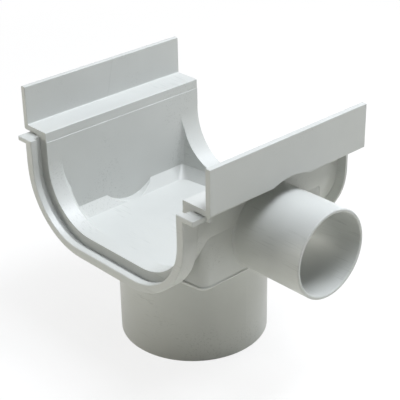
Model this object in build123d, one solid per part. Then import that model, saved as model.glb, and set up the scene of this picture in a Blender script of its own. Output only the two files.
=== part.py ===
from build123d import *
from math import radians, sqrt, tan
import os

# Gutter outlet, one moulding in rigid PVC.
# The gutter runs along Y, the side spigot points to +X and Z is up.
# The origin is the centre of the lower rim of the downpipe spigot.

# Downpipe spigot
pipe_r = 55.0
pipe_wall = 3.2
pipe_length = 76.0
rim_chamfer = 0.6

# Side spigot
side_r = 31.5
side_wall = 2.5
side_reach = 58.0
side_drop = 0.4
side_root_reach = 1.0
side_root_rise = 0.4

# Sump
floor_thickness = 4.0
sump_reach = 60.7
sump_wall = 3.0
end_bow_r = 423.0
end_lean = 3.0
inner_slope_run = 6.5
inner_slope_rise = 8.5
inner_corner = 3.0
floor_corner = 7.0
blank_wall = 3.0
outer_slope_run = 8.0
foot_shoulder = 1.5
bead_out = 0.8
bead_height = 1.0

# Channel
channel_half = 71.0
channel_over_floor = 8.1
channel_depth = 67.3
channel_corner = 43.0
channel_wall = 4.0
channel_half_length = 72.7
lip_bevel = 6.5
edge_band_height = 7.4
edge_band_step = 0.4

# Ledges and fins
ledge_thickness = 4.0
ledge_width = 21.5
fin_thickness = 4.0
fin_height = 28.8
fin_foot_round = 1.0
fin_top_round = 0.5
fin_underside_round = 1.6
ledge_edge_round = 0.6
ledge_relief_rise = 2.8
fin_arch_rise = 4.0

# End flanges, gutter seat and seal groove
flange_out = 11.4
flange_thickness = 2.0
seat_step = 4.6
seat_corner_gain = 2.7
collar_corner_gain = 9.3
seat_length = 4.9
groove_width = 5.1
groove_depth = 3.4
collar_chamfer = 0.5
tab_reach = 8.6
tab_thickness = 3.5
tab_gap = 0.8
stub_inset = 1.0
stub_width = 2.5
stub_drop = 3.0

# Levels and faces that follow from the sizes above
floor_z = pipe_length + floor_thickness
channel_z = floor_z + channel_over_floor
skirt_z = channel_z - channel_wall
ledge_z = channel_z + channel_depth
ledge_under_z = ledge_z - ledge_thickness
fin_top_z = ledge_z + fin_height
side_axis_z = floor_z + side_r - side_drop
ledge_inner = channel_half + edge_band_step
fin_inner = channel_half + ledge_width
fin_outer = fin_inner + fin_thickness
sump_outer_x = channel_half + sump_wall
outer_corner = inner_corner + sump_wall
side_mouth_x = sump_outer_x + side_reach
collar_half = channel_half + flange_out
collar_z = channel_z - flange_out
collar_corner = channel_corner + seat_corner_gain + collar_corner_gain
groove_y = -channel_half_length - groove_width
collar_y = groove_y - seat_length
flange_y = channel_half_length - flange_thickness
collar_top_z = ledge_under_z - tab_gap
plane_match = 0.01


def across(y):
    """Plane across the gutter at y, with its normal towards -Y."""
    return Plane(origin=(0, y, 0), x_dir=(1, 0, 0), z_dir=(0, -1, 0))


def block(x_low, x_high, z_low, z_high, y_near, y_far):
    """Rectangular section run along the gutter."""
    section = Pos((x_low + x_high) / 2, (z_low + z_high) / 2) * Rectangle(x_high - x_low, z_high - z_low)
    return extrude(across(y_far) * section, y_far - y_near)


def trough_section(half, bottom, corner, top, y):
    """U section with round lower corners, across the gutter at y."""
    section = Pos(0, (bottom + top) / 2) * Rectangle(2 * half, top - bottom)
    return across(y) * fillet(section.vertices().group_by(Axis.Y)[0], corner)


def trough_prism(half, bottom, corner, top, y_near, y_far):
    """Solid U section run along the gutter."""
    return extrude(trough_section(half, bottom, corner, top, y_far), y_far - y_near)


def sump_plan(half_x, reach, corner, z):
    """Plan of the sump at height z: straight sides, ends that bow out to the reach, round corners."""
    side_y = reach - end_bow_r + sqrt(end_bow_r ** 2 - half_x ** 2)
    far_end = ThreePointArc((half_x, side_y), (0, reach), (-half_x, side_y))
    near_end = ThreePointArc((-half_x, -side_y), (0, -reach), (half_x, -side_y))
    outline = far_end + Line((-half_x, side_y), (-half_x, -side_y)) \
        + near_end + Line((half_x, -side_y), (half_x, side_y))
    plan = make_face(outline)
    return Pos(0, 0, z) * fillet(plan.vertices(), corner)


def along_x(radius, x_low, x_high):
    """Cylinder on the side spigot's axis."""
    centre = Plane(origin=(x_low, 0, side_axis_z), x_dir=(0, 1, 0), z_dir=(1, 0, 0))
    return extrude(centre * Circle(radius), x_high - x_low)


def edges_at(solid, axis, level):
    """Edges that lie in one plane across an axis."""
    return solid.edges().filter_by_position(axis, level - plane_match, level + plane_match)


def sump_outside():
    """Box with a sloped skirt and a small bead along its lower edge."""
    reach = sump_reach + sump_wall
    foot = sump_plan(sump_outer_x - outer_slope_run, pipe_r + foot_shoulder, outer_corner, pipe_length)
    edge = sump_plan(sump_outer_x + bead_out, reach + bead_out, outer_corner + bead_out, skirt_z)
    wall = sump_plan(sump_outer_x, reach, outer_corner, skirt_z + bead_height)
    box = extrude(wall, ledge_under_z - skirt_z - bead_height)
    return loft([foot, edge], ruled=True) + loft([edge, wall], ruled=True) + box


def sump_inside():
    """Cavity with a flat floor, a sloped band round it, upright sides and ends that lean outwards."""
    band_z = floor_z + inner_slope_rise
    lean = (ledge_z - band_z) * tan(radians(end_lean))
    floor = sump_plan(channel_half - inner_slope_run, sump_reach - inner_slope_run, floor_corner, floor_z)
    edge = sump_plan(channel_half, sump_reach, inner_corner, band_z)
    top = sump_plan(channel_half, sump_reach + lean, inner_corner, ledge_z)
    return loft([floor, edge], ruled=True) + loft([edge, top], ruled=True)


def channel_inside():
    """The gutter's passage, from the seat to the far end."""
    passage = trough_prism(channel_half, channel_z, channel_corner, fin_top_z,
                           collar_y, channel_half_length)
    band = block(-ledge_inner, ledge_inner, ledge_z - edge_band_height, fin_top_z,
                 collar_y, channel_half_length)
    return passage + band


def near_lip():
    """Bevel from the channel's straight near edge down to the bowed wall of the sump."""
    edge_y = -sump_reach
    low_y = edge_y + lip_bevel
    edge = trough_section(channel_half, channel_z, channel_corner, ledge_z, edge_y)
    low = trough_section(channel_half + lip_bevel, channel_z - lip_bevel, channel_corner + lip_bevel,
                         ledge_z, low_y)
    between_walls = block(-channel_half, channel_half, floor_z, ledge_z, edge_y, low_y)
    return loft([edge, low], ruled=True) & between_walls


def ledge():
    """Ledge with its upright fin on the +X side, one L section run along the gutter."""
    sole = Pos((ledge_inner + fin_outer) / 2, (ledge_under_z + ledge_z) / 2) \
        * Rectangle(fin_outer - ledge_inner, ledge_thickness)
    fin = Pos((fin_inner + fin_outer) / 2, (ledge_under_z + fin_top_z) / 2) \
        * Rectangle(fin_thickness, fin_top_z - ledge_under_z)
    section = sole + fin
    for x, z, radius in ((fin_outer, ledge_under_z, fin_underside_round),
                         (fin_outer, fin_top_z, fin_top_round),
                         (fin_inner, fin_top_z, fin_top_round),
                         (fin_inner, ledge_z, fin_foot_round),
                         (ledge_inner, ledge_z, ledge_edge_round)):
        section = fillet(section.vertices().sort_by_distance((x, z))[0], radius)
    return extrude(across(channel_half_length) * section, 2 * channel_half_length)


def collar_outside():
    """Ring round the near end that carries the gutter, with a tab at each top end."""
    flange = trough_prism(collar_half, collar_z, collar_corner, ledge_under_z,
                          -channel_half_length, -flange_y)
    ring = trough_prism(collar_half, collar_z, collar_corner, collar_top_z, collar_y, -channel_half_length)
    tab_edge = collar_half + tab_reach
    tabs = block(-tab_edge, tab_edge, collar_top_z - tab_thickness, collar_top_z, collar_y, -flange_y)
    return flange + ring + tabs


def flange_stub():
    """Small stub on the near flange, under the outer end of the +X ledge."""
    stub_x = fin_outer - stub_inset
    return block(stub_x - stub_width, stub_x, ledge_under_z - stub_drop, ledge_under_z,
                 -channel_half_length, -flange_y)


def collar_inside():
    """Seat for the gutter's end and the groove for its seal."""
    half = channel_half + seat_step
    bottom = channel_z - seat_step
    corner = channel_corner + seat_corner_gain
    seat = trough_prism(half, bottom, corner, fin_top_z, collar_y, groove_y)
    groove = trough_prism(half + groove_depth, bottom - groove_depth, corner + groove_depth,
                          fin_top_z, groove_y, -channel_half_length)
    return seat + groove


def side_spigot():
    """Round spigot that runs through the side wall, on a slightly larger root with a bevelled edge."""
    inner_end = channel_half - inner_slope_run
    root_end = sump_outer_x + side_root_reach
    root = along_x(side_r + side_root_rise, inner_end, root_end)
    root = chamfer(edges_at(root, Axis.X, root_end), side_root_rise)
    return root + along_x(side_r, inner_end, side_mouth_x)


def blank_trough():
    """Half-round trough opposite the side spigot, in the sloped band round the floor."""
    return along_x(side_r, -channel_half, inner_slope_run - channel_half)


def blank_boss():
    """Wall that closes the half-round trough from below and outside."""
    return along_x(side_r + blank_wall, -sump_outer_x, inner_slope_run - channel_half)


def pipe_relief():
    """Arch over the side spigot that clears a pipe's socket, shallow under the ledge, higher in the fin."""
    under_ledge = along_x(ledge_under_z + ledge_relief_rise - side_axis_z, sump_outer_x, fin_outer)
    in_fin = along_x(ledge_under_z + fin_arch_rise - side_axis_z, fin_inner, fin_outer)
    return under_ledge + in_fin


def outside():
    """Everything that the moulding fills, before its hollows are cut."""
    channel = trough_prism(channel_half + channel_wall, skirt_z, channel_corner + channel_wall,
                           ledge_under_z, -channel_half_length, channel_half_length)
    far_flange = trough_prism(collar_half, collar_z, collar_corner, ledge_under_z,
                              flange_y, channel_half_length)
    body = sump_outside() + extrude(Circle(pipe_r), skirt_z) + channel + far_flange + collar_outside()
    body = body + (ledge() - pipe_relief()) + mirror(ledge(), about=Plane.YZ)
    return body + side_spigot() + blank_boss() + flange_stub()


def outlet():
    """The whole moulding."""
    body = outside() - sump_inside() - channel_inside() - collar_inside()
    body = body - near_lip() - blank_trough()
    body = body - along_x(side_r - side_wall, channel_half - inner_slope_run, side_mouth_x)
    body = body - extrude(Circle(pipe_r - pipe_wall), pipe_length)
    rims = edges_at(body, Axis.Z, 0) + edges_at(body, Axis.X, side_mouth_x)
    body = chamfer(rims, rim_chamfer)
    return chamfer(edges_at(body, Axis.Y, collar_y), collar_chamfer)


os.makedirs("parts", exist_ok=True)
export_step(outlet(), "parts/outlet_body.step")
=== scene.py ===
import math

import bpy
from mathutils import Matrix, Vector


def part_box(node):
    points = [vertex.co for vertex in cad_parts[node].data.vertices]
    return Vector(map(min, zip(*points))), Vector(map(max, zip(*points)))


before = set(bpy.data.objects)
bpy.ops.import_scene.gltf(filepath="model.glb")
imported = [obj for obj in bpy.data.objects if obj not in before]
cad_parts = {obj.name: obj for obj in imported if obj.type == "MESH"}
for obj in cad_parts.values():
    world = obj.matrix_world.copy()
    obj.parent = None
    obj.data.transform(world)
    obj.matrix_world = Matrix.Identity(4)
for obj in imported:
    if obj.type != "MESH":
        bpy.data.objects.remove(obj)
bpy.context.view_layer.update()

# Outlet body.
# One injection moulding in light grey rigid PVC: sump, channel, collar, ledges with fins and two spigots.
# It comes from a polished steel mould, so its faces are smooth, with a soft sheen and a faint flow in the
# colour. Lengths are in metres.


def linear(hex_colour):
    """sRGB hex colour as linear RGBA."""
    channels = [int(hex_colour[i:i + 2], 16) / 255 for i in (1, 3, 5)]
    return [c / 12.92 if c <= 0.04045 else ((c + 0.055) / 1.055) ** 2.4 for c in channels] + [1.0]


def add(tree, kind, settings=None, links=None):
    """Node with its settings and its inputs, each a value or another node's output.

    An input is named by its number, or by its name among those that the settings leave in use.
    """
    node = tree.nodes.new(kind)
    for name, value in (settings or {}).items():
        setattr(node, name, value)
    for name, value in (links or {}).items():
        if isinstance(name, int):
            socket = node.inputs[name]
        else:
            socket = [s for s in node.inputs if s.name == name and s.enabled][0]
        if isinstance(value, bpy.types.NodeSocket):
            tree.links.new(value, socket)
        else:
            socket.default_value = value
    return node


def blank_material(name):
    """Material with its shader and output still to be added."""
    material = bpy.data.materials.new(name)
    material.use_nodes = True
    material.node_tree.nodes.clear()
    return material, material.node_tree


# Painted highlight: the rounded edges are drawn paler, for the light that they catch.
edge_round = 0.0004
edge_samples = 6
edge_full_cosine = 0.75
edge_highlight_share = 0.45


def painted_edge_highlight(tree, rounded):
    """Share of painted highlight on the edges, a paler colour for the light that their rounding catches:
    nothing where the rounded normal is the true one, and the full share where the cosine between the
    two falls to edge_full_cosine or less."""
    true = add(tree, "ShaderNodeNewGeometry")
    cosine = add(tree, "ShaderNodeVectorMath", {"operation": "DOT_PRODUCT"}, {
        0: rounded, 1: true.outputs["Normal"]})
    edge_highlight = add(tree, "ShaderNodeMapRange", {}, {
        "Value": cosine.outputs["Value"], "From Min": 1.0, "From Max": edge_full_cosine,
        "To Max": edge_highlight_share})
    return edge_highlight.outputs["Result"]


# Real scuffs are a few tenths of a millimetre wide. They are drawn wider here so that they show.
scuff_length = 0.020
scuff_width = 0.0012
scuff_start = 0.55
scuff_full = 0.70
scuff_strength = 0.4
patch_size = 0.035
patch_start = 0.52
patch_full = 0.64


def scuffs(tree, place):
    """Share of scuffing: the high parts of a noise drawn out along X, where a slower noise is high too."""
    drawn_out = add(tree, "ShaderNodeMapping", {}, {
        "Vector": place, "Scale": (1 / scuff_length, 1 / scuff_width, 1 / scuff_width)})
    strokes = add(tree, "ShaderNodeTexNoise", {}, {"Vector": drawn_out.outputs["Vector"], "Scale": 1.0})
    stroke = add(tree, "ShaderNodeMapRange", {}, {
        "Value": strokes.outputs["Fac"], "From Min": scuff_start, "From Max": scuff_full,
        "To Max": scuff_strength})
    patches = add(tree, "ShaderNodeTexNoise", {}, {"Vector": place, "Scale": 1 / patch_size})
    patch = add(tree, "ShaderNodeMapRange", {}, {
        "Value": patches.outputs["Fac"], "From Min": patch_start, "From Max": patch_full})
    scuffed = add(tree, "ShaderNodeMath", {"operation": "MULTIPLY"}, {
        0: stroke.outputs["Result"], 1: patch.outputs["Result"]})
    return scuffed.outputs[0]


meld_line_foot_y = 0.0015
meld_line_foot_z = 0.158
meld_line_slant = 0.2
meld_line_bend = 0.006
meld_line_half_width = 0.0006
meld_line_inner_x = -0.0915


def meld_line(tree, place, flow):
    """One along the line up the -X fin where two streams of plastic met, and nothing beside it.

    The line is where y, moved by the flow noise times its bend, less the slant times z, is within the
    half width of what it is at the foot. The noise has its middle at a half, so half the bend is added.
    """
    axes = add(tree, "ShaderNodeSeparateXYZ", {}, {"Vector": place})
    bent = add(tree, "ShaderNodeMath", {"operation": "MULTIPLY_ADD"}, {
        0: flow, 1: meld_line_bend, 2: axes.outputs["Y"]})
    upright = add(tree, "ShaderNodeMath", {"operation": "MULTIPLY_ADD"}, {
        0: axes.outputs["Z"], 1: -meld_line_slant, 2: bent.outputs[0]})
    at_foot = meld_line_foot_y - meld_line_slant * meld_line_foot_z + meld_line_bend / 2
    on_line = add(tree, "ShaderNodeMath", {"operation": "COMPARE"}, {
        0: upright.outputs[0], 1: at_foot, 2: meld_line_half_width})
    on_fin = add(tree, "ShaderNodeMath", {"operation": "LESS_THAN"}, {
        0: axes.outputs["X"], 1: meld_line_inner_x})
    both = add(tree, "ShaderNodeMath", {"operation": "MULTIPLY"}, {
        0: on_line.outputs[0], 1: on_fin.outputs[0]})
    return both.outputs[0]


pvc_grey = linear("#C9CBC8")
pvc_flow_grey = linear("#C2C4C1")
# Paler grey of the painted highlight on the edges.
pvc_edge_highlight_grey = linear("#DADCDA")
pvc_scuff_grey = linear("#A3A6A2")
pvc_ior = 1.54
meld_line_share = 0.14
flow_size = 0.030
flow_detail = 2.0
sheen_size = 0.007
sheen_detail = 2.0
sheen_low = 0.3
sheen_high = 0.7
satin_smooth = 0.36
satin_rough = 0.44
scuff_roughness = 0.4
# The steel's real grain is some hundredths of a millimetre. It is drawn coarser here so that it shows.
grain_size = 0.0006
grain_height = 0.000012
grain_detail = 1.0


def rigid_pvc():
    """Rigid PVC as moulded: satin, with a slow flow in its colour and a fine grain from the steel.

    The edges come out of the mould slightly round, so the normal turns over edge_round there. The colour
    is the flow's, made paler at the edges by a painted highlight and darker by the shares of meld line
    and scuffing, and the scuffs are rougher than the sheen round them.
    """
    material, tree = blank_material("rigid_pvc")
    place = add(tree, "ShaderNodeTexCoord").outputs["Object"]
    bevel = add(tree, "ShaderNodeBevel", {"samples": edge_samples}, {"Radius": edge_round})
    rounded = bevel.outputs["Normal"]
    noise = add(tree, "ShaderNodeTexNoise", {}, {
        "Vector": place, "Scale": 1 / flow_size, "Detail": flow_detail})
    flow = noise.outputs["Fac"]
    scuffed = scuffs(tree, place)

    body = add(tree, "ShaderNodeMix", {"data_type": "RGBA"}, {
        "Factor": flow, "A": pvc_flow_grey, "B": pvc_grey})
    # The edges are made paler with a painted highlight.
    highlighted = add(tree, "ShaderNodeMix", {"data_type": "RGBA"}, {
        "Factor": painted_edge_highlight(tree, rounded), "A": body.outputs["Result"], "B": pvc_edge_highlight_grey})
    marks = add(tree, "ShaderNodeMath", {"operation": "MULTIPLY_ADD"}, {
        0: meld_line(tree, place, flow), 1: meld_line_share, 2: scuffed})
    colour = add(tree, "ShaderNodeMix", {"data_type": "RGBA"}, {
        "Factor": marks.outputs[0], "A": highlighted.outputs["Result"], "B": pvc_scuff_grey})

    sheen = add(tree, "ShaderNodeTexNoise", {}, {
        "Vector": place, "Scale": 1 / sheen_size, "Detail": sheen_detail})
    satin = add(tree, "ShaderNodeMapRange", {}, {
        "Value": sheen.outputs["Fac"], "From Min": sheen_low, "From Max": sheen_high,
        "To Min": satin_smooth, "To Max": satin_rough})
    roughness = add(tree, "ShaderNodeMath", {"operation": "MULTIPLY_ADD"}, {
        0: scuffed, 1: scuff_roughness, 2: satin.outputs["Result"]})

    grain = add(tree, "ShaderNodeTexNoise", {}, {
        "Vector": place, "Scale": 1 / grain_size, "Detail": grain_detail})
    bump = add(tree, "ShaderNodeBump", {}, {
        "Height": grain.outputs["Fac"], "Distance": grain_height, "Normal": rounded})

    shader = add(tree, "ShaderNodeBsdfPrincipled", {}, {
        "Base Color": colour.outputs["Result"], "Roughness": roughness.outputs[0], "IOR": pvc_ior,
        "Normal": bump.outputs["Normal"]})
    add(tree, "ShaderNodeOutputMaterial", {}, {"Surface": shader.outputs[0]})
    return material


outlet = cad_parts["outlet_body"]
outlet.data.materials.clear()
outlet.data.materials.append(rigid_pvc())

# Floor.
# A wide sheet of matt white paper that the outlet stands on. It throws light up at the outlet, and is
# shown as plain white with a faint share of the outlet's shadow, which fades out away from it.

paper_white = linear("#F0EDE1")
pure_white = linear("#FFFFFF")
shown_strength = 1.0
floor_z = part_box("outlet_body")[0][2]
floor_half = 6.0
shadow_share = 0.18
shadow_near = 0.25
shadow_far = 0.8


def background_ray(tree):
    """One for the rays that show the background: camera, glossy and transmission rays."""
    ray = add(tree, "ShaderNodeLightPath")
    mirrored = add(tree, "ShaderNodeMath", {"operation": "MAXIMUM"}, {
        0: ray.outputs["Is Glossy Ray"], 1: ray.outputs["Is Transmission Ray"]})
    shown = add(tree, "ShaderNodeMath", {"operation": "MAXIMUM"}, {
        0: ray.outputs["Is Camera Ray"], 1: mirrored.outputs[0]})
    return shown.outputs[0]


def white_paper():
    """Matt white paper. To the rays that show the background it is plain white, mixed with its shaded
    self by shadow_share up to shadow_near from the middle, and by less and less out to shadow_far."""
    material, tree = blank_material("white_paper")
    matt = add(tree, "ShaderNodeBsdfDiffuse", {}, {"Color": paper_white})
    shaded = add(tree, "ShaderNodeBsdfDiffuse", {}, {"Color": pure_white})
    white = add(tree, "ShaderNodeEmission", {}, {"Color": pure_white, "Strength": shown_strength})
    place = add(tree, "ShaderNodeTexCoord").outputs["Object"]
    away = add(tree, "ShaderNodeVectorMath", {"operation": "LENGTH"}, {0: place})
    share = add(tree, "ShaderNodeMapRange", {}, {
        "Value": away.outputs["Value"], "From Min": shadow_near, "From Max": shadow_far,
        "To Min": shadow_share, "To Max": 0.0})
    shown = add(tree, "ShaderNodeMixShader", {}, {
        "Fac": share.outputs["Result"], 1: white.outputs[0], 2: shaded.outputs[0]})
    paper = add(tree, "ShaderNodeMixShader", {}, {
        "Fac": background_ray(tree), 1: matt.outputs[0], 2: shown.outputs[0]})
    add(tree, "ShaderNodeOutputMaterial", {}, {"Surface": paper.outputs[0]})
    return material


corners = [(x * floor_half, y * floor_half, floor_z) for x, y in ((-1, -1), (1, -1), (1, 1), (-1, 1))]
mesh = bpy.data.meshes.new("floor")
mesh.from_pydata(corners, [], [(0, 1, 2, 3)])
mesh.materials.append(white_paper())
floor = bpy.data.objects.new("floor", mesh)
bpy.context.scene.collection.objects.link(floor)

# Studio light.
# Soft boxes of white cloth. The two strong ones are high on the side of the side spigot, four weaker ones
# fill in from the right front and from behind, and a warmer one stands low at the left front.

middle = Vector((0.0, 0.0, 0.1))
dome_radius = 1.5
low_radius = 1.3
cool_white = "#F5F9FF"
warm_white = "#FFFDF3"
surroundings_strength = 0.01


def soft_box(name, azimuth, elevation, side, power, distance=dome_radius, colour=cool_white):
    """Square area lamp that faces the outlet's middle, with its azimuth turned from +X towards +Y."""
    turn, rise = math.radians(azimuth), math.radians(elevation)
    out = Vector((math.cos(rise) * math.cos(turn), math.cos(rise) * math.sin(turn), math.sin(rise)))
    lamp = bpy.data.lights.new(name, "AREA")
    lamp.shape = "SQUARE"
    lamp.size = side
    lamp.energy = power
    lamp.color = linear(colour)[:3]
    box = bpy.data.objects.new(name, lamp)
    box.location = middle + out * distance
    box.rotation_euler = (-out).to_track_quat("-Z", "Y").to_euler()
    bpy.context.scene.collection.objects.link(box)


soft_box("overhead", azimuth=15, elevation=72, side=0.45, power=10.2)
soft_box("right_behind", azimuth=60, elevation=58, side=0.6, power=12.6)
soft_box("high_behind", azimuth=90, elevation=68, side=0.6, power=4.5)
soft_box("right_front", azimuth=-30, elevation=66, side=0.6, power=3.4)
soft_box("behind", azimuth=90, elevation=32, side=0.6, power=3.5)
soft_box("low_behind", azimuth=105, elevation=12, side=0.45, power=3.2, distance=low_radius)
soft_box("left_front", azimuth=236, elevation=15, side=0.5, power=4.9, distance=low_radius,
         colour=warm_white)

# The surroundings are seen as white, also in reflections, and give the outlet almost no light.
world = bpy.data.worlds.new("surroundings")
bpy.context.scene.world = world
world.use_nodes = True
tree = world.node_tree
tree.nodes.clear()
dim = add(tree, "ShaderNodeBackground", {}, {"Color": pure_white, "Strength": surroundings_strength})
white = add(tree, "ShaderNodeBackground", {}, {"Color": pure_white, "Strength": shown_strength})
around = add(tree, "ShaderNodeMixShader", {}, {
    "Fac": background_ray(tree), 1: dim.outputs[0], 2: white.outputs[0]})
add(tree, "ShaderNodeOutputWorld", {}, {"Surface": around.outputs[0]})

# Camera.
# A long lens from above the corner between the side spigot and the near end, with the picture's slight
# roll. Its place and lens follow from the perspective of the picture.

camera_place = Vector((0.54987, -0.49917, 0.48732))
camera_aim = Vector((0.00098, 0.00606, 0.10006))
camera_roll = math.radians(-1.068)
picture_side_px = 400.0
focal_length_px = 1161.4
optical_centre_px = (199.0, 200.6)
sensor_width_mm = 36.0
nearest_seen = 0.01

lens = bpy.data.cameras.new("camera")
lens.sensor_width = sensor_width_mm
lens.lens = focal_length_px / picture_side_px * sensor_width_mm
lens.shift_x = (picture_side_px / 2 - optical_centre_px[0]) / picture_side_px
lens.shift_y = (optical_centre_px[1] - picture_side_px / 2) / picture_side_px
lens.clip_start = nearest_seen
camera = bpy.data.objects.new("camera", lens)
bpy.context.scene.collection.objects.link(camera)
look = (camera_aim - camera_place).to_track_quat("-Z", "Y").to_matrix().to_4x4()
camera.matrix_world = Matrix.Translation(camera_place) @ look @ Matrix.Rotation(camera_roll, 4, "Z")
bpy.context.scene.camera = camera
bpy.context.scene.view_settings.view_transform = "Standard"
